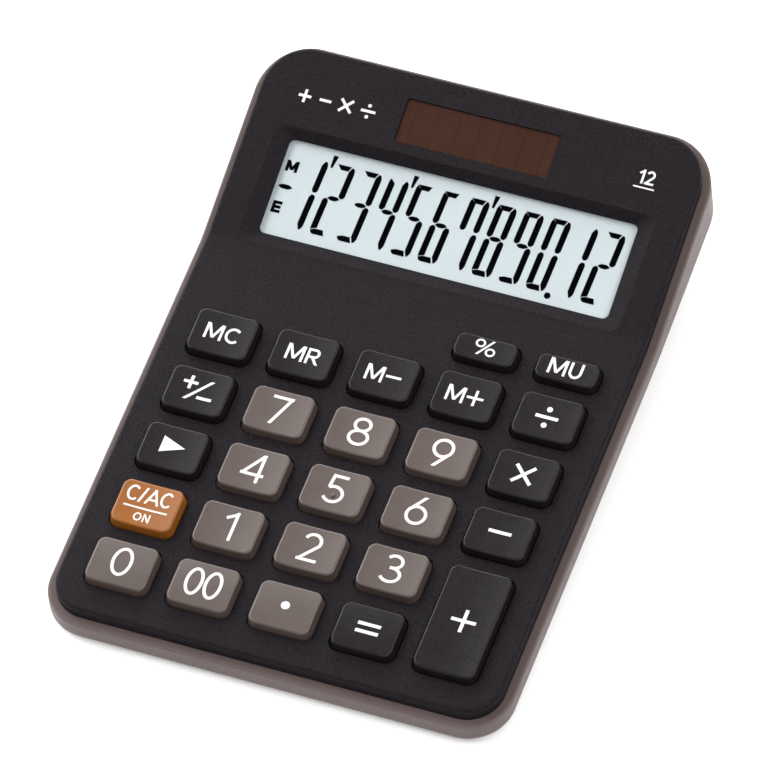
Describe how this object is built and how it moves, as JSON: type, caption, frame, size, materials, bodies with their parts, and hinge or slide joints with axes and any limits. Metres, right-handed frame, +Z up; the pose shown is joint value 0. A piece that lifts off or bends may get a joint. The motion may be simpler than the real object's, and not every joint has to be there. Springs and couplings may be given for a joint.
{
  "type": "desk calculator",
  "caption": "Desk calculator with a raised tilted display, a solar panel and separate push keys on a gently sloping face over a shallow wedge-shaped case.",
  "frame": {"origin": "middle of the footprint, on the surface that the rubber feet stand on", "axes": "+X to the user's right, +Y from the user towards the display, +Z up"},
  "size_m": [0.1064, 0.1474, 0.031],
  "materials": {
    "case_black": "fine matt moulded texture",
    "case_taupe": "satin moulded plastic",
    "key_black": "satin moulded plastic",
    "key_taupe": "satin moulded plastic",
    "key_orange": "satin moulded plastic",
    "clear_window": "polished clear acrylic",
    "polarizer": "grey-white reflective film",
    "display_glass": "thin flat glass",
    "foam": "black closed-cell foam",
    "ribbon": "amber heat-seal film with carbon tracks",
    "solar_brown": "dark brown tinted window over the cell",
    "silicone": "grey-white moulded silicone",
    "board": "phenolic board with carbon pads",
    "epoxy": "black epoxy",
    "ceramic": "tan ceramic with tinned ends",
    "capacitor_sleeve": "dark shrink sleeve over aluminium",
    "steel": "nickel-plated steel",
    "wire_sleeve": "coloured wire sleeve",
    "rubber": "moulded rubber"
  },
  "bodies": {
    "case": {"battery_contact_minus": "steel", "battery_contact_plus": "steel", "battery_wires": "wire_sleeve", "board_screws": "steel", "button_cell": "steel", "case_screws": "steel", "ceramic_capacitors": "ceramic", "chip_cover": "epoxy", "circuit_board": "board", "electrolytic_capacitor": "capacitor_sleeve", "keypad_sheet": "silicone", "lcd_front_film": "polarizer", "lcd_front_glass": "display_glass", "lcd_gasket": "foam", "lcd_holder": "case_black", "lcd_lens": "clear_window", "lcd_rear_film": "polarizer", "lcd_rear_glass": "display_glass", "lcd_ribbon": "ribbon", "lower_case": "case_taupe", "rubber_feet": "rubber", "solar_cell": "solar_brown", "solar_window": "solar_brown", "solar_wires": "wire_sleeve", "upper_case": "case_black"},
    "key_mc": {"key_mc": "key_black"},
    "key_mr": {"key_mr": "key_black"},
    "key_m_minus": {"key_m_minus": "key_black"},
    "key_m_plus": {"key_m_plus": "key_black"},
    "key_divide": {"key_divide": "key_black"},
    "key_sign": {"key_sign": "key_black"},
    "key_7": {"key_7": "key_taupe"},
    "key_8": {"key_8": "key_taupe"},
    "key_9": {"key_9": "key_taupe"},
    "key_multiply": {"key_multiply": "key_black"},
    "key_shift": {"key_shift": "key_black"},
    "key_4": {"key_4": "key_taupe"},
    "key_5": {"key_5": "key_taupe"},
    "key_6": {"key_6": "key_taupe"},
    "key_minus": {"key_minus": "key_black"},
    "key_clear": {"key_clear": "key_orange"},
    "key_1": {"key_1": "key_taupe"},
    "key_2": {"key_2": "key_taupe"},
    "key_3": {"key_3": "key_taupe"},
    "key_plus": {"key_plus": "key_black"},
    "key_0": {"key_0": "key_taupe"},
    "key_00": {"key_00": "key_taupe"},
    "key_decimal": {"key_decimal": "key_taupe"},
    "key_equals": {"key_equals": "key_black"},
    "key_percent": {"key_percent": "key_black"},
    "key_markup": {"key_markup": "key_black"}
  },
  "joints": [
    {"name": "key_mc_press", "type": "slide", "parent": "case", "child": "key_mc", "axis": [0, 0.0802, -0.9968], "range_m": [0, 0.001], "stiffness_N_per_m": 400, "springref_m": -0.0005, "deforming": ["keypad_sheet"]},
    {"name": "key_mr_press", "type": "slide", "parent": "case", "child": "key_mr", "axis": [0, 0.0802, -0.9968], "range_m": [0, 0.001], "stiffness_N_per_m": 400, "springref_m": -0.0005, "deforming": ["keypad_sheet"]},
    {"name": "key_m_minus_press", "type": "slide", "parent": "case", "child": "key_m_minus", "axis": [0, 0.0802, -0.9968], "range_m": [0, 0.001], "stiffness_N_per_m": 400, "springref_m": -0.0005, "deforming": ["keypad_sheet"]},
    {"name": "key_m_plus_press", "type": "slide", "parent": "case", "child": "key_m_plus", "axis": [0, 0.0802, -0.9968], "range_m": [0, 0.001], "stiffness_N_per_m": 400, "springref_m": -0.0005, "deforming": ["keypad_sheet"]},
    {"name": "key_divide_press", "type": "slide", "parent": "case", "child": "key_divide", "axis": [0, 0.0802, -0.9968], "range_m": [0, 0.001], "stiffness_N_per_m": 400, "springref_m": -0.0005, "deforming": ["keypad_sheet"]},
    {"name": "key_sign_press", "type": "slide", "parent": "case", "child": "key_sign", "axis": [0, 0.0802, -0.9968], "range_m": [0, 0.001], "stiffness_N_per_m": 400, "springref_m": -0.0005, "deforming": ["keypad_sheet"]},
    {"name": "key_7_press", "type": "slide", "parent": "case", "child": "key_7", "axis": [0, 0.0802, -0.9968], "range_m": [0, 0.001], "stiffness_N_per_m": 400, "springref_m": -0.0005, "deforming": ["keypad_sheet"]},
    {"name": "key_8_press", "type": "slide", "parent": "case", "child": "key_8", "axis": [0, 0.0802, -0.9968], "range_m": [0, 0.001], "stiffness_N_per_m": 400, "springref_m": -0.0005, "deforming": ["keypad_sheet"]},
    {"name": "key_9_press", "type": "slide", "parent": "case", "child": "key_9", "axis": [0, 0.0802, -0.9968], "range_m": [0, 0.001], "stiffness_N_per_m": 400, "springref_m": -0.0005, "deforming": ["keypad_sheet"]},
    {"name": "key_multiply_press", "type": "slide", "parent": "case", "child": "key_multiply", "axis": [0, 0.0802, -0.9968], "range_m": [0, 0.001], "stiffness_N_per_m": 400, "springref_m": -0.0005, "deforming": ["keypad_sheet"]},
    {"name": "key_shift_press", "type": "slide", "parent": "case", "child": "key_shift", "axis": [0, 0.0802, -0.9968], "range_m": [0, 0.001], "stiffness_N_per_m": 400, "springref_m": -0.0005, "deforming": ["keypad_sheet"]},
    {"name": "key_4_press", "type": "slide", "parent": "case", "child": "key_4", "axis": [0, 0.0802, -0.9968], "range_m": [0, 0.001], "stiffness_N_per_m": 400, "springref_m": -0.0005, "deforming": ["keypad_sheet"]},
    {"name": "key_5_press", "type": "slide", "parent": "case", "child": "key_5", "axis": [0, 0.0802, -0.9968], "range_m": [0, 0.001], "stiffness_N_per_m": 400, "springref_m": -0.0005, "deforming": ["keypad_sheet"]},
    {"name": "key_6_press", "type": "slide", "parent": "case", "child": "key_6", "axis": [0, 0.0802, -0.9968], "range_m": [0, 0.001], "stiffness_N_per_m": 400, "springref_m": -0.0005, "deforming": ["keypad_sheet"]},
    {"name": "key_minus_press", "type": "slide", "parent": "case", "child": "key_minus", "axis": [0, 0.0802, -0.9968], "range_m": [0, 0.001], "stiffness_N_per_m": 400, "springref_m": -0.0005, "deforming": ["keypad_sheet"]},
    {"name": "key_clear_press", "type": "slide", "parent": "case", "child": "key_clear", "axis": [0, 0.0802, -0.9968], "range_m": [0, 0.001], "stiffness_N_per_m": 400, "springref_m": -0.0005, "deforming": ["keypad_sheet"]},
    {"name": "key_1_press", "type": "slide", "parent": "case", "child": "key_1", "axis": [0, 0.0802, -0.9968], "range_m": [0, 0.001], "stiffness_N_per_m": 400, "springref_m": -0.0005, "deforming": ["keypad_sheet"]},
    {"name": "key_2_press", "type": "slide", "parent": "case", "child": "key_2", "axis": [0, 0.0802, -0.9968], "range_m": [0, 0.001], "stiffness_N_per_m": 400, "springref_m": -0.0005, "deforming": ["keypad_sheet"]},
    {"name": "key_3_press", "type": "slide", "parent": "case", "child": "key_3", "axis": [0, 0.0802, -0.9968], "range_m": [0, 0.001], "stiffness_N_per_m": 400, "springref_m": -0.0005, "deforming": ["keypad_sheet"]},
    {"name": "key_plus_press", "type": "slide", "parent": "case", "child": "key_plus", "axis": [0, 0.0802, -0.9968], "range_m": [0, 0.001], "stiffness_N_per_m": 400, "springref_m": -0.0005, "deforming": ["keypad_sheet"]},
    {"name": "key_0_press", "type": "slide", "parent": "case", "child": "key_0", "axis": [0, 0.0802, -0.9968], "range_m": [0, 0.001], "stiffness_N_per_m": 400, "springref_m": -0.0005, "deforming": ["keypad_sheet"]},
    {"name": "key_00_press", "type": "slide", "parent": "case", "child": "key_00", "axis": [0, 0.0802, -0.9968], "range_m": [0, 0.001], "stiffness_N_per_m": 400, "springref_m": -0.0005, "deforming": ["keypad_sheet"]},
    {"name": "key_decimal_press", "type": "slide", "parent": "case", "child": "key_decimal", "axis": [0, 0.0802, -0.9968], "range_m": [0, 0.001], "stiffness_N_per_m": 400, "springref_m": -0.0005, "deforming": ["keypad_sheet"]},
    {"name": "key_equals_press", "type": "slide", "parent": "case", "child": "key_equals", "axis": [0, 0.0802, -0.9968], "range_m": [0, 0.001], "stiffness_N_per_m": 400, "springref_m": -0.0005, "deforming": ["keypad_sheet"]},
    {"name": "key_percent_press", "type": "slide", "parent": "case", "child": "key_percent", "axis": [0, 0.0802, -0.9968], "range_m": [0, 0.001], "stiffness_N_per_m": 400, "springref_m": -0.0005, "deforming": ["keypad_sheet"]},
    {"name": "key_markup_press", "type": "slide", "parent": "case", "child": "key_markup", "axis": [0, 0.0802, -0.9968], "range_m": [0, 0.001], "stiffness_N_per_m": 400, "springref_m": -0.0005, "deforming": ["keypad_sheet"]}
  ]
}
